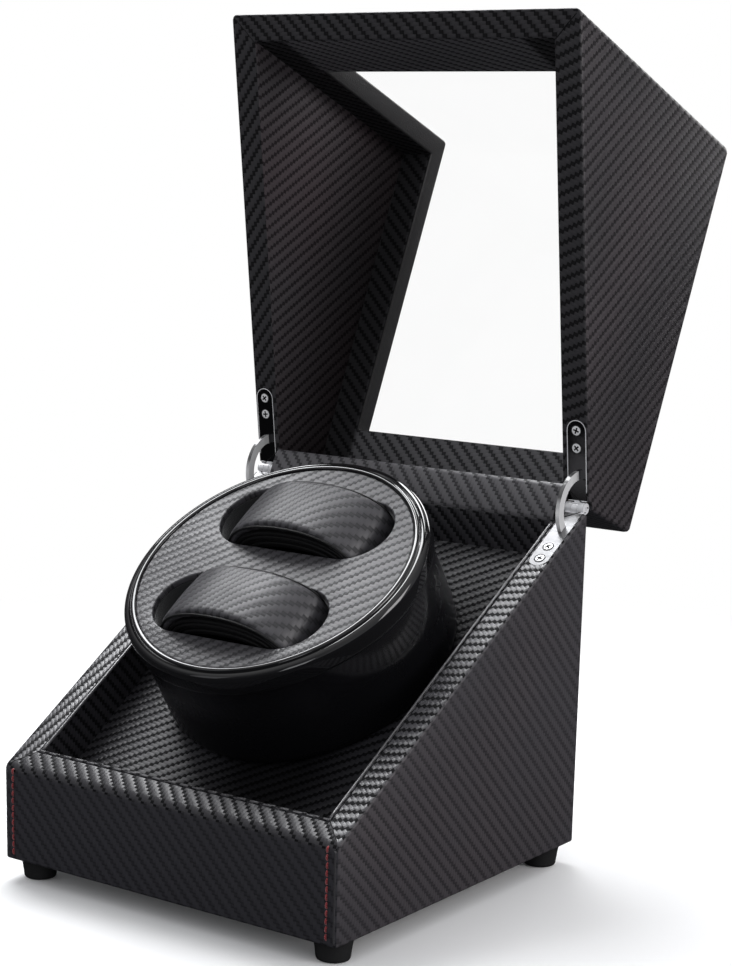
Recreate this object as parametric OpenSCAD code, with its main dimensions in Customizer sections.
// Watch winder box for two watches, shown with its lid open.
// Millimetres, +Z up, front is -Y, right is +X.
// Origin: on the floor, below the middle of the bounding box of the open object.

/* [Box] */
// Width of the box, left to right
box_w = 180; // [172:1:200]
// Depth of the box, front to rear
box_d = 182.5; // [180:0.5:190]
// Height of the closed box above its feet
box_h = 192.5; // [188:0.5:205]
// Height of the base at its front edge
front_h = 42.75; // [41:0.25:45]
// Height of the base at its rear edge
rear_h = 151.5; // [149:0.5:154]
// Thickness of the leathercloth skin
skin_t = 1; // [0.8:0.1:1.2]
// Width of the rim at the two sides
rim_side = 12.9; // [12.6:0.1:14]
// Thickness of the front wall
rim_front = 11.3; // [11:0.1:12.5]
// Thickness of the rear wall
rim_rear = 8.9; // [8.5:0.1:9.5]
// Gap between the two rims when the lid is shut
rim_gap = 0.5; // [0.4:0.1:1]

/* [Lid] */
// Opening angle of the lid at the stop
lid_open = 114; // [100:1:116]
// Thickness of the front and top boards of the lid
lid_t = 10.4; // [9.5:0.1:11]
// Half width of the window opening
win_x = 61; // [56:0.5:62]
// Height of the bottom edge of the window above the underside of the box
win_z = 84.4; // [80:0.2:95]
// Distance from the front face to the rear edge of the window
win_y = 151; // [140:1:153]
// Thickness of the window pane
pane_t = 2; // [1.5:0.1:2.5]

/* [Rotor] */
// Tilt of the rotor and of the platform below it
tilt = 33.1; // [32.6:0.1:33.6]
// Distance of the rotor face centre behind the front face
face_y = 74.4; // [73:0.1:76]
// Height of the rotor face centre above the underside of the box
face_z = 132.1; // [131:0.1:133]
// Radius of the leathercloth face
face_r = 62.7; // [62:0.1:63.5]
// Outer radius of the bezel
bezel_r = 69; // [68.5:0.1:70]
// Distance from the rotor face down to the platform
rotor_h = 55.5; // [55:0.1:57]
// Length of a watch slot
slot_l = 87; // [84:0.5:89]
// Width of a watch slot
slot_w = 36.5; // [35.5:0.5:38]
// Distance of each slot from the rotor centre
slot_u = 28; // [26.5:0.1:29]

/* [Pillows] */
// Half width of a watch pillow
pil_a = 36; // [33:0.5:38]
// Height of the pillow crown above the rotor face
pil_top = 12.5; // [10:0.5:15]
// Length of a pillow along its axis
pil_l = 34; // [32:0.5:34.5]

/* [Hinges] */
// Width of a hinge leaf
leaf_w = 9; // [8:0.1:9.2]
// Length of a hinge leaf from the pin
leaf_l = 39; // [36:0.5:44]
// Thickness of a hinge leaf
leaf_t = 1.5; // [1.2:0.1:1.8]
// Radius of the hinge knuckles
knuckle_r = 2.5; // [2.2:0.1:2.8]
// Radius of the curved stay, at the middle of its band
stay_r = 14.5; // [14:0.1:15.5]

/* [Feet] */
// Height of the rubber feet
foot_h = 9.5; // [8:0.5:12]
// Radius of a foot at the top
foot_r = 8.4; // [8:0.1:9]

/* [Hidden] */

eps = 0.01;                          // overlap that joins touching solids

// Colours shared by several nodes
wood = [0.42, 0.32, 0.24];
leathercloth = [0.13, 0.12, 0.13];
leaf_metal = [0.86, 0.87, 0.88];
leaf_screw_metal = [0.7, 0.7, 0.72];
pin_metal = [0.75, 0.75, 0.77];
stay_metal = [0.9, 0.9, 0.92];
case_screw_metal = [0.55, 0.55, 0.57];
small_screw_metal = [0.6, 0.6, 0.62];
cup_black = [0.1, 0.09, 0.1];
pillow_cloth = [0.25, 0.24, 0.25];
pillow_inside = [0.12, 0.12, 0.12];

// Faces and levels of the closed box
y_front = -box_d/2;
y_rear = box_d/2;                    // also the hinge axis
z_under = foot_h;                    // underside of the box
z_hinge = foot_h + rear_h;
z_top = foot_h + box_h;
x_outer = box_w/2;                   // outer side face
x_inner = x_outer - rim_side;        // side face of the opening
slope = atan((rear_h - front_h)/box_d);
slope_l = box_d/cos(slope);          // length of the sloping rim

// ---------- helpers ----------
// A profile in the y-z plane, drawn out along x
module yz(points, width) {
  rotate([90, 0, 90]) linear_extrude(width, center = true) polygon(points);
}
// The frame of the base rim: y runs up the slope from the front edge, z is its normal
module on_rim() {
  translate([0, y_front, z_under + front_h]) rotate([slope, 0, 0]) children();
}
// The frame of the rotor: origin at the middle of its face, z along its axis
module on_rotor() {
  translate([0, face_centre_y, face_centre_z]) rotate([tilt, 0, 0]) children();
}
// From the frame of the closed box to the origin of the open object
module place() translate([0, -y_mid, 0]) children();
// From the closed lid to the open lid
module open_lid() {
  translate([0, y_rear, z_hinge]) rotate([-lid_open, 0, 0])
    translate([0, -y_rear, -z_hinge]) children();
}
module left_side() mirror([1, 0, 0]) children();
module both_sides() {
  children();
  left_side() children();
}
module at_each(points, z) {
  for (point = points) translate([point.x, point.y, z]) children();
}
// An upright cylinder on the z axis, its foot at height z
module post(z, dia, height, sides) {
  translate([0, 0, z]) cylinder(d = dia, h = height, $fn = sides);
}
// Corner of a profile replaced with an arc
function unit(vec) = vec/norm(vec);
function arc_corner(prev, corner, next, radius, steps = 5) =
  radius <= 0 ? [corner] :
  let(to_prev = unit(prev - corner), to_next = unit(next - corner),
      half = acos(to_prev*to_next)/2, tangent = radius/tan(half),
      centre = corner + unit(to_prev + to_next)*(radius/sin(half)),
      first = corner + to_prev*tangent - centre,
      last = corner + to_next*tangent - centre,
      angle0 = atan2(first.y, first.x), turn = atan2(last.y, last.x) - angle0,
      sweep = turn > 180 ? turn - 360 : turn < -180 ? turn + 360 : turn)
  [for (i = [0:steps])
    centre + radius*[cos(angle0 + sweep*i/steps), sin(angle0 + sweep*i/steps)]];
// A closed profile with corner i rounded to radii[i]
function soft(points, radii) = let(count = len(points)) [for (i = [0:count - 1])
  each arc_corner(points[(i + count - 1) % count], points[i], points[(i + 1) % count], radii[i])];
// A round-ended plate, its length along x
module stadium(length, width, height) {
  straight = length - width;
  translate([-straight/2, -width/2, 0]) cube([straight, width, height]);
  for (side = [-1, 1])
    translate([side*straight/2, 0, 0]) cylinder(d = width, h = height, $fn = 96);
}
// A pan-head screw, head up, the underside of the head at z = 0
module pan_screw(dia, length, head_d, head_h) {
  difference() {
    union() {
      cylinder(d = head_d, h = head_h, $fn = 32);
      post(-length, dia, length + eps, 24);
    }
    for (a = [0, 90])
      rotate(a) translate([-head_d*0.32, -0.3, head_h*0.45]) cube([head_d*0.64, 0.6, head_h]);
  }
}
// A countersunk screw, head flush with z = 0
module csk_screw(dia, length, head_d) {
  head_h = (head_d - dia)/2;
  difference() {
    union() {
      translate([0, 0, -head_h]) cylinder(d1 = dia, d2 = head_d, h = head_h, $fn = 32);
      post(-length, dia, length - head_h + eps, 24);
    }
    for (a = [45, 135])
      rotate(a) translate([-head_d*0.3, -0.3, -0.7]) cube([head_d*0.6, 0.6, 1.4]);
  }
}
// A round wire through a list of points, with a ball at each bend
module wire(path, radius) {
  for (i = [0:len(path) - 2]) {
    run = path[i + 1] - path[i];
    translate(path[i]) rotate([0, acos(run.z/norm(run)), atan2(run.y, run.x)])
      cylinder(r = radius, h = norm(run), $fn = 16);
  }
  for (i = [1:len(path) - 2]) translate(path[i]) sphere(r = radius*1.3, $fn = 16);
}

// ---------- rotor levels ----------
tray_w = 1.5;                        // wall of the tray liner
platform_t = 5;                      // thickness of the tray's sloping floor
face_centre_y = y_front + face_y;
face_centre_z = z_under + face_z;
axis_y = face_centre_y + rotor_h*sin(tilt);  // where the rotor axis meets the platform
axis_z = face_centre_z - rotor_h*cos(tilt);
// Heights along the rotor axis, from the rotor face
deck_z = -rotor_h;                   // top of the platform
under_z = deck_z - platform_t;       // underside of the platform
bracket_z = under_z - 2;             // underside of the motor bracket
gearbox_h = 22;
motor_z = bracket_z - gearbox_h;     // where the motor meets the gearbox
drum_floor_z = deck_z + 4;           // inside floor of the drum
hub_flange_t = 3;

// ---------- base profiles ----------
// Height of the base rim, and of the platform, at y; the second value is an offset
// along the normal
function rim_z(y, offset = 0) = z_under + front_h + (y - y_front)*tan(slope) + offset/cos(slope);
function platform_z(y, offset = 0) = axis_z + (y - axis_y)*tan(tilt) + offset/cos(tilt);
base_outer = soft([[y_front, z_under], [y_rear, z_under],
  [y_rear, rim_z(y_rear)], [y_front, rim_z(y_front)]], [2, 2, 1.5, 2.5]);
// The base inside its skin, with its bottom at height z
function base_inside(z) = let(y0 = y_front + skin_t, y1 = y_rear - skin_t)
  [[y0, z], [y1, z], [y1, rim_z(y1, -skin_t)], [y0, rim_z(y0, -skin_t)]];
// A well from above the box down to an offset of the platform
function well(y0, y1, offset) = [[y0, platform_z(y0, offset)], [y1, platform_z(y1, offset)],
  [y1, z_hinge + 20], [y0, z_hinge + 20]];
tray_y0 = y_front + rim_front - tray_w;
tray_y1 = y_rear - rim_rear + tray_w;
// The cavity below the platform
low_y0 = y_front + 14;
low_y1 = y_rear - 12.5;
low_cavity = [[low_y0, z_under - 1], [low_y1, z_under - 1],
  [low_y1, platform_z(low_y1, -platform_t) + 1], [low_y0, platform_z(low_y0, -platform_t) + 1]];
panel_y0 = y_front + 11.5;
panel_y1 = y_rear - 10;

// ---------- lid profiles ----------
lid_outer = soft([[y_front, rim_z(y_front, rim_gap)], [y_rear, rim_z(y_rear, rim_gap)],
  [y_rear, z_top], [y_front, z_top]], [1.2, 1.2, 4, 4]);
lid_core = let(y0 = y_front + skin_t, y1 = y_rear - skin_t, z1 = z_top - skin_t)
  soft([[y0, rim_z(y0, rim_gap + skin_t)], [y1, rim_z(y1, rim_gap + skin_t)],
    [y1, z1], [y0, z1]], [0, 0, 3, 3]);
// y of a point of the lid's profile once the lid is open
function open_y(point) =
  y_rear + (point.x - y_rear)*cos(lid_open) + (point.y - z_hinge)*sin(lid_open);
// Middle of the open object, front to rear
y_mid = (y_front + max([for (point = lid_outer) open_y(point)]))/2;
// Inside of the lid carcass (inset 0) and inside of its lining (inset skin_t)
function lid_hole(inset) = let(y0 = y_front + lid_t - skin_t + inset,
    y1 = y_rear - rim_rear + skin_t - inset, z1 = z_top - lid_t + skin_t - inset)
  [[y0, rim_z(y_front, -30)], [y1, rim_z(y_rear, -30)], [y1, z1], [y0, z1]];
// Window opening through the front and top boards
module window(grow) {
  half_w = win_x + grow;
  translate([-half_w, y_front - 5, z_under + win_z - grow])
    cube([2*half_w, lid_t + 5.5, z_top - z_under - win_z + grow + 5]);
  translate([-half_w, y_front - 5, z_top - lid_t - 0.5])
    cube([2*half_w, win_y + 5 + grow, lid_t + 5.5]);
}
// Bent pane in the middle of the boards
pane_m = lid_t/2;                    // depth of the pane's middle in the board
pane_lap = 3;                        // reach of the pane past the window edges
pane_bend_out = 3;                   // outer and inner radius of the bend
pane_bend_in = 1;
module pane_shape(grow) {
  thick = pane_t + 2*grow;
  lap = pane_lap + grow;
  y0 = y_front + pane_m - pane_t/2 - grow;
  z1 = z_top - pane_m + pane_t/2 + grow;
  y_inside = y0 + thick;
  z_inside = z1 - thick;
  z_low = z_under + win_z;
  y_back = y_front + win_y;
  yz(concat([[y0, z_low - lap]],
    arc_corner([y0, z_low], [y0, z1], [y_back, z1], pane_bend_out + grow, 6),
    [[y_back + lap, z1], [y_back + lap, z_inside]],
    arc_corner([y_back, z_inside], [y_inside, z_inside], [y_inside, z_low],
      pane_bend_in - grow, 4),
    [[y_inside, z_low - lap]]), 2*(win_x + lap));
}

// ---------- hinges ----------
leaf_x = x_outer - 5.75;             // middle of the hinge leaves
knuckle_l = 3;                       // length of each knuckle of the base leaf
knuckle_x0 = leaf_x - 4.9;           // knuckles, inner and outer end
knuckle_x1 = leaf_x + 4.5;
split_x0 = knuckle_x0 + knuckle_l;   // splits between the knuckles
split_x1 = knuckle_x1 - knuckle_l;
pin_r = 1;
leaf_play = 0.05;
leaf_hole_d = 2.4;
leaf_screw_places = [26.7, 34.5];    // distances from the pin down the rim
stay_b = 2;                          // half band of the stay
stay_w = 1.8;                        // thickness of the stay, along x
stay_in = 8;                         // engagement of the stay, degrees
stay_base_share = 0.25;              // share of the opening angle slotted into the base
rim_angle = 180 + slope;             // direction of the base rim from the pin

// A round bar along the hinge axis
module hinge_bar(x0, x1, radius) {
  translate([x0, y_rear, z_hinge]) rotate([0, 90, 0]) cylinder(r = radius, h = x1 - x0, $fn = 48);
}
// A sector of the stay, angles from +y towards +z; gap grows its band, gap_x its thickness
module stay_band(angle0, angle1, gap = 0, gap_x = 0) {
  translate([leaf_x, y_rear, z_hinge]) rotate([90, 0, 90]) rotate([0, 0, angle0])
    rotate_extrude(angle = angle1 - angle0, $fn = 96)
      translate([stay_r - stay_b - gap, -(stay_w + gap_x)/2])
        square([2*(stay_b + gap), stay_w + gap_x]);
}
// The outline of a leaf, in the plane of the rim
module leaf_plate(thick, grow = 0) {
  translate([leaf_x, slope_l - leaf_l + leaf_w/2, 0]) {
    cylinder(d = leaf_w + 2*grow, h = thick, $fn = 64);
    translate([-leaf_w/2 - grow, 0, 0])
      cube([leaf_w + 2*grow, leaf_l - leaf_w/2 + grow, thick]);
  }
}
module at_leaf_screws(z) {
  on_rim() for (d = leaf_screw_places) translate([leaf_x, slope_l - d, z]) children();
}
// Room in one half of the box for leaf, knuckles, stay and screws
module hinge_cuts(pocket_z, pocket_t, hole_z, angle0, angle1) {
  on_rim() translate([0, 0, pocket_z]) leaf_plate(pocket_t, 0.1);
  hinge_bar(knuckle_x0 - 0.3, x_outer - skin_t, knuckle_r + 0.8);
  stay_band(angle0, angle1, 0.3, 0.4);
  at_leaf_screws(hole_z) cylinder(d = leaf_hole_d, h = 9, $fn = 24);
}
module hinge_cuts_base() {
  hinge_cuts(-leaf_t - 0.1, leaf_t + 3, -9.1,
    rim_angle - 6, rim_angle + stay_in + lid_open*stay_base_share + 2);
}
module hinge_cuts_lid() {
  hinge_cuts(rim_gap - 3 + 0.1 + leaf_t, 3, rim_gap + 0.1,
    rim_angle - stay_in - lid_open*(1 - stay_base_share) - 2, rim_angle + 6);
}
// The slot for the stay through a leaf
module leaf_stay_slot() stay_band(rim_angle - 12, rim_angle + 12, 0.2, 0.3);
// The leaf on the base, right-hand side
module base_leaf() {
  difference() {
    union() {
      on_rim() translate([0, 0, -leaf_t]) leaf_plate(leaf_t - leaf_play);
      hinge_bar(knuckle_x0, split_x0, knuckle_r);
      hinge_bar(split_x1, knuckle_x1, knuckle_r);
    }
    hinge_bar(knuckle_x0 - 1, knuckle_x1 + 1, pin_r);
    hinge_bar(split_x0, split_x1, knuckle_r + 0.4);
    leaf_stay_slot();
    at_leaf_screws(-leaf_play) {
      translate([0, 0, -1.1]) cylinder(d1 = leaf_hole_d, d2 = 4.64, h = 1.12, $fn = 32);
      post(-3, leaf_hole_d, 3, 32);
    }
  }
}
// The leaf on the closed lid, right-hand side
module lid_leaf() {
  difference() {
    union() {
      on_rim() translate([0, 0, rim_gap + leaf_play]) difference() {
        leaf_plate(leaf_t - leaf_play);
        // room for the knuckles of the base leaf
        for (x = [knuckle_x0 - 2, split_x1 - 0.15])
          translate([x, slope_l - knuckle_r - 0.4, -1]) cube([5.35, 20, 6]);
      }
      hinge_bar(split_x0 + 0.2, split_x1 - 0.2, knuckle_r);
    }
    hinge_bar(knuckle_x0 - 1, knuckle_x1 + 1, pin_r + 0.05);
    leaf_stay_slot();
    at_leaf_screws(rim_gap + leaf_play) {
      translate([0, 0, -0.02]) cylinder(d2 = leaf_hole_d, d1 = 4.64, h = 1.12, $fn = 32);
      cylinder(d = leaf_hole_d, h = 3, $fn = 32);
    }
  }
}
module leaf_screws(z, flip) at_leaf_screws(z) rotate([flip, 0, 0]) csk_screw(2.3, 8.5, 4.5);
module hinge_pin() hinge_bar(knuckle_x0, knuckle_x1, pin_r);
module stay() stay_band(rim_angle - lid_open - stay_in, rim_angle + stay_in);

module base_leaf_right() color(leaf_metal) base_leaf();
module base_leaf_left() color(leaf_metal) left_side() base_leaf();
module lid_leaf_right() color(leaf_metal) open_lid() lid_leaf();
module lid_leaf_left() color(leaf_metal) left_side() open_lid() lid_leaf();
module base_leaf_screws() color(leaf_screw_metal) both_sides() leaf_screws(-0.08, 0);
module lid_leaf_screws() color(leaf_screw_metal)
  both_sides() open_lid() leaf_screws(rim_gap + 0.08, 180);
module hinge_pin_right() color(pin_metal) hinge_pin();
module hinge_pin_left() color(pin_metal) left_side() hinge_pin();
module stay_right() color(stay_metal) stay();
module stay_left() color(stay_metal) left_side() stay();
// The leathercloth flap that closes the gap between the two rear rims, at the open stop
module hinge_flap() {
  edge_r = rim_rear/cos(slope);      // from the pin to the inner edge of a rim
  span = 2*edge_r*cos((180 - lid_open)/2);  // straight distance between the inner edges
  color([0.16, 0.15, 0.16])
    translate([0, y_rear + edge_r*cos(rim_angle), z_hinge + edge_r*sin(rim_angle)])
      rotate([rim_angle - lid_open/2 - 90, 0, 0])
        translate([-x_inner + 0.6, 1.5, 0.1]) cube([2*x_inner - 1.2, span - 3, 0.7]);
}

// ---------- base ----------
seam_x = x_outer - 5.2;              // middle of each front seam
stitch_n = 9;
stitch_r = 0.42;
foot_recess_z = foot_h - 3;          // top of the recess that holds the screw head
foot_places = [for (side = [-1, 1], y = [y_front + 12, y_rear - 12]) [side*(x_outer - 10), y]];
panel_screw_places =
  [for (side = [-1, 1], y = [panel_y0 + 20, panel_y1 - 20]) [side*(x_inner - 3), y]];
// Rear plate, centred on the height of its controls
control_z = z_under + 29;
plate_w = 66;
plate_h = 33;
plate_t = 2;
module at_plate_screws(y) {
  for (x = [-29.3, 29.3], z = [-13, 13])
    translate([x, y, control_z + z]) rotate([-90, 0, 0]) children();
}
module plate_screw_holes() at_plate_screws(y_rear - 9) cylinder(d = 2.1, h = 12, $fn = 24);

module base_cuts() {
  yz(well(tray_y0, tray_y1, -platform_t), 2*(x_inner + tray_w));
  yz(low_cavity, 2*(x_inner - 6));
  translate([-x_inner, panel_y0, z_under - 1]) cube([2*x_inner, panel_y1 - panel_y0, 5.2]);
  // opening for the rear plate
  translate([-27, y_rear - 20, control_z - 12]) cube([54, 30, 24]);
}
module base_carcass() color(wood) difference() {
  yz(base_inside(z_under), 2*(x_outer - skin_t));
  base_cuts();
  both_sides() hinge_cuts_base();
  at_each(foot_places, z_under - 1) cylinder(d = 3.1, h = 12, $fn = 24);
  at_each(panel_screw_places, z_under - 1) cylinder(d = 2.7, h = 13, $fn = 24);
  plate_screw_holes();
}
module base_wrap() color(leathercloth) difference() {
  yz(base_outer, 2*x_outer);
  yz(base_inside(z_under - 1), 2*(x_outer - skin_t));
  base_cuts();
  both_sides() hinge_cuts_base();
  // shallow channels that hold the seams
  for (side = [-1, 1])
    translate([side*seam_x - 0.6, y_front - 1, z_under + 1.5]) cube([1.2, 1.5, front_h - 4.5]);
  plate_screw_holes();
}
module front_stitching() color([0.75, 0.1, 0.12]) {
  pitch = (front_h - 5.5)/stitch_n;
  stitch_l = pitch*0.62;
  for (side = [-1, 1], i = [0:stitch_n - 1])
    translate([side*seam_x, y_front + 0.05, z_under + 2 + pitch*(i + 0.5)]) {
      cylinder(r = stitch_r, h = stitch_l, center = true, $fn = 16);
      for (end = [-1, 1]) translate([0, 0, end*stitch_l/2]) sphere(r = stitch_r, $fn = 16);
    }
}
module inner_tray() color([0.17, 0.16, 0.17]) difference() {
  y0 = tray_y0 + 0.1;
  y1 = tray_y1 - 0.1;
  floor_offset = -platform_t + 0.02;
  yz([[y0, platform_z(y0, floor_offset)], [y1, platform_z(y1, floor_offset)],
      [y1, rim_z(y1, -0.3)], [y0, rim_z(y0, -0.3)]], 2*(x_inner + tray_w - 0.1));
  yz(well(tray_y0 + tray_w, tray_y1 - tray_w, 0), 2*x_inner);
  on_rotor() post(deck_z - 20, 14, 30, 48);
  on_rotor() at_each(bracket_screw_places, under_z - 1) cylinder(d = 2.6, h = 4.7, $fn = 24);
}
module bottom_panel() color([0.2, 0.19, 0.19]) difference() {
  translate([-x_inner + 0.2, panel_y0 + 0.2, z_under])
    cube([2*x_inner - 0.4, panel_y1 - panel_y0 - 0.4, panel_t]);
  at_each(board_screw_places, z_under + 1) cylinder(d = 2.6, h = 5, $fn = 24);
  at_each(panel_screw_places, z_under - 1) {
    cylinder(d = 2.9, h = 7, $fn = 24);
    cylinder(d = 6, h = 2.5, $fn = 32);
  }
  // vent slots
  for (i = [-3:3]) translate([i*7 - 1.25, 40, z_under - 1]) cube([2.5, 22, 7]);
}
module bottom_panel_screws() color(case_screw_metal)
  at_each(panel_screw_places, z_under + 1.5) rotate([180, 0, 0]) pan_screw(2.6, 9, 5.4, 1.4);
module foot() difference() {
  union() {
    cylinder(r1 = foot_r - 1.4, r2 = foot_r, h = foot_h - 1, $fn = 64);
    post(foot_h - 1 - eps, 2*foot_r, 1 + eps, 64);
  }
  post(-1, 7.6, foot_recess_z + 1, 32);
  cylinder(d = 3.1, h = 30, $fn = 24);
}
module feet() color([0.06, 0.06, 0.06]) at_each(foot_places, 0) foot();
module foot_screws() color(case_screw_metal)
  at_each(foot_places, foot_recess_z) rotate([180, 0, 0]) pan_screw(3, 12, 7, 2);

// ---------- drive ----------
shaft_d = 6;
shaft_bore_d = 6.1;
bracket_screw_places = [for (x = [-26, 26], y = [-14, 14]) [x, y]];

module shaft_bush() color([0.72, 0.55, 0.3]) on_rotor() difference() {
  union() {
    post(deck_z, 18, 0.8, 48);
    post(under_z, 13.9, platform_t + eps, 48);
  }
  post(deck_z - 20, shaft_bore_d, 30, 48);
}
module motor_bracket() color([0.6, 0.61, 0.63]) on_rotor() difference() {
  translate([-32, -20, bracket_z]) cube([64, 40, 1.95]);
  post(under_z - 5, 12.2, 10, 48);
  at_each(bracket_screw_places, under_z - 5) cylinder(d = 3, h = 10, $fn = 24);
}
module bracket_screws() color([0.5, 0.5, 0.52]) on_rotor()
  at_each(bracket_screw_places, bracket_z) rotate([180, 0, 0]) pan_screw(2.5, 5.4, 5, 1.6);
module gearbox() color([0.32, 0.33, 0.35]) on_rotor() difference() {
  union() {
    post(motor_z, 37, gearbox_h, 96);
    post(bracket_z - eps, 12, 1.9, 48);
  }
  post(under_z - 10, shaft_bore_d, 12, 48);
}
// Motor can, end boss and two terminals
module motor() color([0.7, 0.7, 0.72]) on_rotor() union() {
  post(motor_z - 30, 28, 30, 96);
  post(motor_z - 33, 9, 3 + eps, 32);
  for (side = [-1, 1])
    translate([side*terminal_x - 1.4, -0.3, motor_z - 36]) cube([2.8, 0.6, 6.5]);
}
// The cut that leaves the flat of the shaft
module shaft_flat() translate([-5, 2.5, drum_floor_z]) cube([10, 5, 20]);
module drive_shaft() color([0.78, 0.78, 0.8]) on_rotor() difference() {
  post(under_z - 9.5, shaft_d, platform_t + 9.5 + 15.5, 48);
  shaft_flat();
}

// ---------- rear controls ----------
knob_x = -13;
jack_x = 14;
spindle_d = 4;
// The frame of a rear control: z points to the rear
module facing_rear(x, y) translate([x, y, control_z]) rotate([-90, 0, 0]) children();

module rear_plate() color([0.08, 0.08, 0.09]) difference() {
  translate([-plate_w/2, y_rear, control_z - plate_h/2]) cube([plate_w, plate_t, plate_h]);
  facing_rear(knob_x, y_rear - 5) cylinder(d = 7.2, h = 12, $fn = 48);
  facing_rear(jack_x, y_rear - 5) cylinder(d = 9.1, h = 12, $fn = 48);
  at_plate_screws(y_rear - 5) cylinder(d = 2.3, h = 12, $fn = 24);
}
module rear_plate_screws() color(case_screw_metal)
  at_plate_screws(y_rear + plate_t) pan_screw(2, 9, 4, 1.2);
// Switch body, threaded neck and three terminals
module mode_switch() color([0.15, 0.2, 0.3]) difference() {
  union() {
    translate([knob_x - 7, y_rear - 9, control_z - 7]) cube([14, 9, 14]);
    facing_rear(knob_x, y_rear - eps) cylinder(d = 7, h = 3, $fn = 48);
    for (i = [-1:1])
      translate([knob_x + i*4 - 0.5, y_rear - 12, control_z - 4]) cube([1, 3 + eps, 0.5]);
  }
  facing_rear(knob_x, y_rear - 6) cylinder(d = spindle_d + 0.1, h = 20, $fn = 48);
}
module knob_spindle() color(pin_metal) facing_rear(knob_x, y_rear - 5.8) difference() {
  cylinder(d = spindle_d, h = 19, $fn = 48);
  translate([-5, 1.4, 12]) cube([10, 5, 10]);
}
module mode_knob() color([0.1, 0.1, 0.11]) facing_rear(knob_x, y_rear + 4) difference() {
  union() {
    cylinder(d = 18, h = 3, $fn = 64);
    translate([0, 0, 3 - eps]) cylinder(d1 = 16, d2 = 14.5, h = 9, $fn = 64);
  }
  post(-1, spindle_d, 10.3, 48);
  // grip flutes and pointer groove
  for (a = [0:30:330]) rotate(a) translate([8.6, 0, 3.2]) cylinder(r = 1, h = 20, $fn = 16);
  translate([-0.5, -7.6, 11.4]) cube([1, 6, 3]);
}
module dc_jack() color([0.12, 0.12, 0.13]) facing_rear(jack_x, y_rear) {
  difference() {
    union() {
      post(plate_t, 12, 1.5, 48);
      post(-9, 9, 11 + eps, 48);
      for (x = [-2.5, 2.5]) translate([x - 0.9, -0.25, -13]) cube([1.8, 0.5, 4.1]);
    }
    post(-6, 6, 20, 48);
  }
  post(-6.5, 2, 8, 24);
}
module jack_nut() color([0.7, 0.71, 0.73])
  translate([jack_x, y_rear, control_z]) rotate([90, 0, 0]) difference() {
    cylinder(d = 14, h = 2.4, $fn = 6);
    post(-1, 9.05, 5, 48);
  }

// ---------- control board ----------
panel_t = 4;                         // thickness of the bottom panel
board_w = 56;
board_d = 40;
board_t = 1.6;
board_y = -38;                       // front edge of the board
board_z = z_under + 12;
board_top = board_z + board_t;
board_inset = 4;                     // from the board's edges to its screws
board_screw_places = [for (x = [-1, 1], y = [board_y + board_inset, board_y + board_d - board_inset])
  [x*(board_w/2 - board_inset), y]];
socket_w = 9;
motor_socket_x = -12;                // left side of each lead socket
supply_socket_x = 4;
// Blocks on the board: x, y, then size in x, y, z
board_blocks = [
  [-14, -26, 10, 8, 1.8],
  [motor_socket_x, -10, socket_w, 6, 6],
  [supply_socket_x, -10, socket_w, 6, 6],
  [-2, -20, 4, 4, 2.4]];
// Cylinders on the board: x, y, diameter, height
board_cans = [[4, -30, 6.3, 9], [14, -22, 5, 7]];

module board_standoffs() color([0.75, 0.65, 0.4])
  at_each(board_screw_places, z_under + panel_t) difference() {
    cylinder(d = 5, h = board_z - z_under - panel_t, $fn = 6);
    post(2, 2.2, 20, 24);
  }
module control_board() color([0.05, 0.3, 0.15]) difference() {
  translate([-board_w/2, board_y, board_z]) cube([board_w, board_d, board_t]);
  at_each(board_screw_places, board_z - 1) cylinder(d = 2.6, h = 5, $fn = 24);
}
module board_screws() color(small_screw_metal)
  at_each(board_screw_places, board_top) pan_screw(2.1, 5, 4, 1.4);
module board_parts() color([0.12, 0.12, 0.12]) {
  for (b = board_blocks) translate([b[0], b[1], board_top]) cube([b[2], b[3], b[4]]);
  for (c = board_cans) translate([c[0], c[1], board_top]) cylinder(d = c[2], h = c[3], $fn = 32);
}

// ---------- leads ----------
terminal_x = 8;                      // motor terminals, from the motor axis
lead_r = 0.6;
socket_lead_y = -3.9;                // where the leads meet the sockets
// A point of a lead in line with its socket; side is -1 or 1
function by_socket(socket_x, side, y) = [socket_x + socket_w/2 + side*2, y, board_z + 4.6];
module motor_leads() color([0.7, 0.08, 0.08]) for (side = [-1, 1]) {
  end_z = motor_z - 36.3;            // just past the terminals, along the rotor axis
  y = face_centre_y - end_z*sin(tilt);
  z = face_centre_z + end_z*cos(tilt);
  wire([[side*terminal_x, y + 0.55, z - 0.75], [side*5 - 4, y - 11, z - 12],
    by_socket(motor_socket_x, side, 5),
    by_socket(motor_socket_x, side, socket_lead_y)], lead_r);
}
module supply_leads() color([0.1, 0.1, 0.1]) for (side = [-1, 1])
  wire([[jack_x + side*2.5, y_rear - 13.2, control_z],
    [jack_x + side*2.4, y_rear - 24, control_z - 3],
    [18 + side*1.8, 36, board_z + 6.4],
    by_socket(supply_socket_x, side, 7),
    by_socket(supply_socket_x, side, socket_lead_y)], lead_r);

// ---------- rotor ----------
face_t = 3;
cup_rim_z = -3.05;                   // top of the cups, just below the face board
hub_hole_d = 2.6;
module at_hub_screws(z) for (a = [45:90:315]) rotate(a) translate([11, 0, z]) children();

module rotor_drum() color([0.05, 0.05, 0.055]) on_rotor() difference() {
  union() {
    translate([0, 0, deck_z + 1.5])
      cylinder(r1 = bezel_r - 4, r2 = bezel_r - 2, h = 3, $fn = 128);
    post(deck_z + 4.5 - eps, 2*(bezel_r - 2), rotor_h - 4.5 - 8 + eps, 128);
  }
  post(drum_floor_z, 2*(bezel_r - 4.4), rotor_h, 128);
  post(deck_z, 6.4, 10, 48);
  at_hub_screws(deck_z) cylinder(d = hub_hole_d, h = 10, $fn = 24);
}
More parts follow.
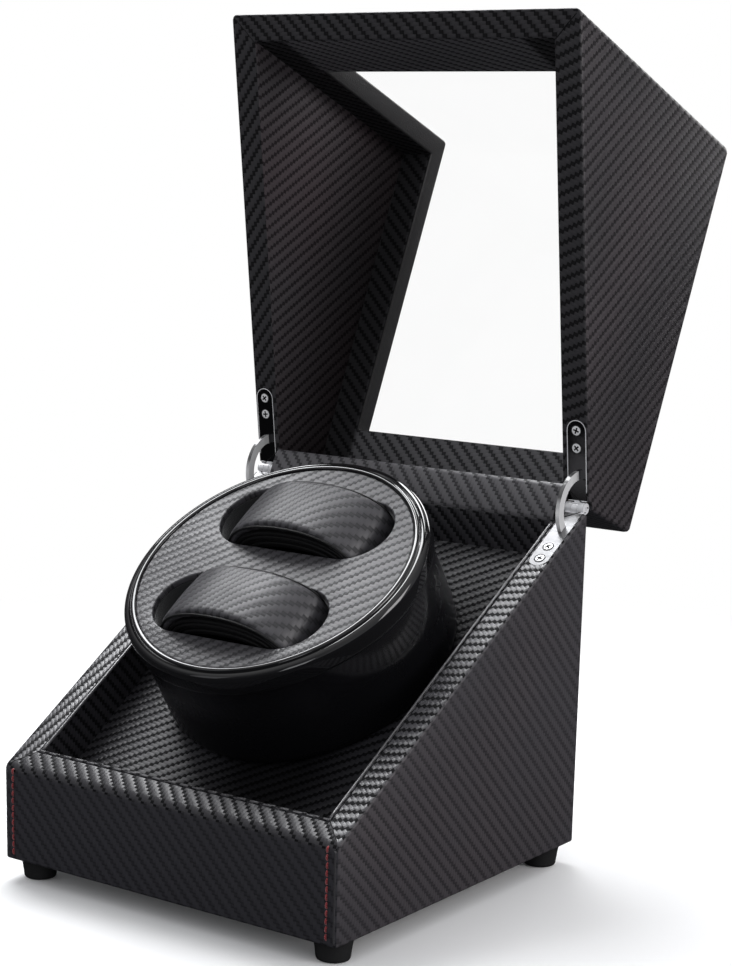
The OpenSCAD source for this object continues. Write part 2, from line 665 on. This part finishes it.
// Bezel section: radius, height above the rotor face
module rotor_bezel() color([0.04, 0.04, 0.045]) on_rotor() difference() {
  rotate_extrude($fn = 128) polygon(concat(
    [[bezel_r - 7.8, -5.5], [bezel_r - 7.8, cup_rim_z],
     [face_r + 0.05, cup_rim_z], [face_r + 0.05, 0.4],
     [face_r + 0.5, 0.8], [face_r + 2.0, 0.8],
     [face_r + 2.5, 0.4], [face_r + 2.6, -0.5], [face_r + 3.2, -0.5]],
    [for (i = [0:5]) [bezel_r - 2.6 + 2.6*sin(i*18), -3 + 2.9*cos(i*18)]],
    [[bezel_r, -8.5], [bezel_r - 0.6, -10], [bezel_r - 1.95, -10],
     [bezel_r - 1.95, -8], [bezel_r - 5.5, -8], [bezel_r - 5.5, -5.5]]));
}
module slot(height, grow = 0) stadium(slot_l + 2*grow, slot_w + 2*grow, height);
// The frame of a watch slot: side is 1 for the upper and -1 for the lower
module at_slot(side) on_rotor() translate([0, side*slot_u, 0]) children();
module rotor_face() color([0.24, 0.23, 0.24]) on_rotor() difference() {
  post(-face_t, 2*face_r, face_t, 128);
  for (side = [-1, 1]) translate([0, side*slot_u, -5]) slot(10);
}
pil_bot = -31.9;                     // underside of the pillows, inside floor of the cups
cup_floor_t = 1.6;
module cup() difference() {
  union() {
    translate([0, 0, pil_bot - cup_floor_t]) slot(cup_rim_z - pil_bot + cup_floor_t, 1.3);
    translate([0, 0, cup_rim_z - 1]) slot(1, 3);
  }
  translate([0, 0, pil_bot - 0.1]) slot(60);
}
module cup_upper() color(cup_black) at_slot(1) cup();
module cup_lower() color(cup_black) at_slot(-1) cup();
module rotor_hub() color([0.75, 0.75, 0.72]) on_rotor() difference() {
  union() {
    post(drum_floor_z, 32, hub_flange_t, 64);
    post(drum_floor_z, 13, 13.5, 48);
  }
  difference() {
    post(deck_z, shaft_d, 15.5, 48);
    shaft_flat();
  }
  at_hub_screws(deck_z) cylinder(d = hub_hole_d, h = 10, $fn = 24);
}
module hub_screws() color(small_screw_metal) on_rotor()
  at_hub_screws(drum_floor_z + hub_flange_t) pan_screw(2.5, 5, 4.6, 1.6);

// ---------- watch pillows ----------
// Superellipse in the x-z plane, inset from the pillow's outside, open at the bottom
// by the angle gap on each side
oval_steps = 56;
oval_power = 2/2.2;
function signed_pow(x) = sign(x)*pow(abs(x), oval_power);
function oval(inset, gap) =
  let(half_w = pil_a - inset, half_h = (pil_top - pil_bot)/2 - inset,
      z_middle = (pil_top + pil_bot)/2)
  [for (i = [0:oval_steps]) let(a = -90 + gap + (360 - 2*gap)*i/oval_steps)
    [half_w*signed_pow(cos(a)), z_middle + half_h*signed_pow(sin(a))]];
// The band between two insets, trimmed to the slot less slot_play
module cuff(inset0, inset1, gap, length, slot_play) {
  inside = oval(inset1, gap);
  intersection() {
    translate([0, length/2, 0]) rotate([90, 0, 0]) linear_extrude(length)
      polygon(concat(oval(inset0, gap), [for (i = [oval_steps:-1:0]) inside[i]]));
    translate([0, 0, pil_bot - 5])
      stadium(slot_l - slot_play, slot_w - slot_play, pil_top - pil_bot + 10);
  }
}
module pillow_cover() cuff(0, 4.5, 16, pil_l, 1);
module pillow_core() cuff(4.52, 6.2, 15, pil_l - 1, 2);
module pillow_cover_upper() color(pillow_cloth) at_slot(1) pillow_cover();
module pillow_core_upper() color(pillow_inside) at_slot(1) pillow_core();
module pillow_cover_lower() color(pillow_cloth) at_slot(-1) pillow_cover();
module pillow_core_lower() color(pillow_inside) at_slot(-1) pillow_core();

// ---------- lid ----------
module lid_solid() difference() {
  yz(lid_core, 2*(x_outer - skin_t));
  yz(lid_hole(0), 2*(x_inner + skin_t));
  window(skin_t);
}
module lid_carcass() color(wood) open_lid() difference() {
  lid_solid();
  pane_shape(0.1);
  both_sides() hinge_cuts_lid();
}
// The part of the grown window opening that lies behind the pane, gap away from it
module behind_pane(grow, gap) {
  depth = pane_m + pane_t/2 + gap;
  intersection() {
    window(grow);
    translate([-x_outer, y_front + depth, z_under])
      cube([box_w, box_d, z_top - depth - z_under]);
  }
}
module lid_wrap() color(leathercloth) open_lid() difference() {
  yz(lid_outer, 2*x_outer);
  yz(lid_hole(0), 2*(x_inner + skin_t));
  window(0);
  behind_pane(skin_t + 0.05, 0.05);
  lid_solid();
  pane_shape(0.1);
  both_sides() hinge_cuts_lid();
}
module lid_lining() color([0.2, 0.17, 0.18]) open_lid() difference() {
  union() {
    intersection() {
      yz(lid_hole(0.02), 2*(x_inner + skin_t - 0.02));
      yz([[y_front, rim_z(y_front, rim_gap)], [y_rear, rim_z(y_rear, rim_gap)],
        [y_rear, z_top], [y_front, z_top]], 2*x_outer);
    }
    behind_pane(skin_t - 0.02, 0.12);
  }
  yz(lid_hole(skin_t), 2*x_inner);
  window(0);
  pane_shape(0.1);
}
module window_pane() color([0.8, 0.85, 0.88, 0.35]) open_lid() pane_shape(0);

place() base_carcass();
place() base_wrap();
place() front_stitching();
place() inner_tray();
place() bottom_panel();
place() bottom_panel_screws();
place() feet();
place() foot_screws();
place() base_leaf_left();
place() base_leaf_right();
place() base_leaf_screws();
place() hinge_pin_left();
place() hinge_pin_right();
place() gearbox();
place() motor();
place() motor_bracket();
place() bracket_screws();
place() shaft_bush();
place() rear_plate();
place() rear_plate_screws();
place() dc_jack();
place() jack_nut();
place() mode_switch();
place() control_board();
place() board_parts();
place() board_standoffs();
place() board_screws();
place() motor_leads();
place() supply_leads();
place() mode_knob();
place() knob_spindle();
place() rotor_drum();
place() rotor_bezel();
place() rotor_face();
place() cup_upper();
place() cup_lower();
place() rotor_hub();
place() hub_screws();
place() drive_shaft();
place() pillow_cover_upper();
place() pillow_core_upper();
place() pillow_cover_lower();
place() pillow_core_lower();
place() stay_left();
place() stay_right();
place() lid_carcass();
place() lid_wrap();
place() lid_lining();
place() window_pane();
place() lid_leaf_left();
place() lid_leaf_right();
place() lid_leaf_screws();
place() hinge_flap();
